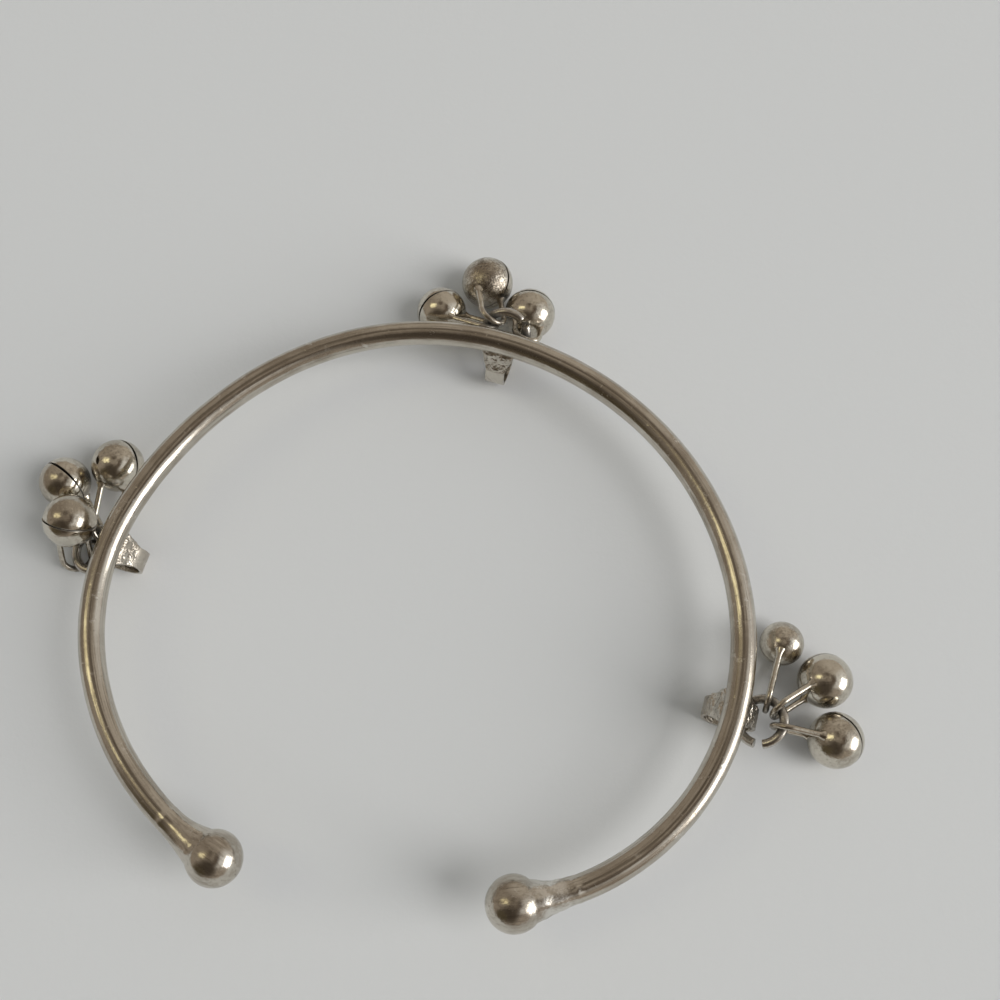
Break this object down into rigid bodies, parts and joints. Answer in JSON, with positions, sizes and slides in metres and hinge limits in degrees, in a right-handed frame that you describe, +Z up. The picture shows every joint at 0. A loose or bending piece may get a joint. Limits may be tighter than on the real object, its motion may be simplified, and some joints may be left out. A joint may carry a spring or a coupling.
{
  "type": "open cuff bracelet with bells",
  "caption": "Open round-wire cuff bracelet in worn silver, with ball ends and clusters of small hollow bells hung from soldered flat rings.",
  "frame": {"origin": "middle of the underside of the whole object's box, on the surface it lies on", "axes": "+X across the wrist opening, +Y from the open ends to the back of the cuff, +Z up from the surface"},
  "size_m": [0.0834, 0.0708, 0.0094],
  "materials": {
    "cuff_silver": "drawn silver wire and strip, tarnished brownish, polished by wear",
    "jump_silver": "silver wire, tarnished grey",
    "bell_silver": "thin silver shell, warm tarnish, polished by wear"
  },
  "bodies": {
    "root": {"cuff": "cuff_silver", "jump_ring_top": "jump_silver", "jump_ring_left": "jump_silver", "jump_ring_right": "jump_silver", "bell_top_1": "bell_silver", "bell_top_2": "bell_silver", "bell_top_3": "bell_silver", "bell_left_1": "bell_silver", "bell_left_2": "bell_silver", "bell_left_3": "bell_silver", "bell_right_1": "bell_silver", "bell_right_2": "bell_silver", "bell_right_3": "bell_silver"}
  },
  "joints": []
}
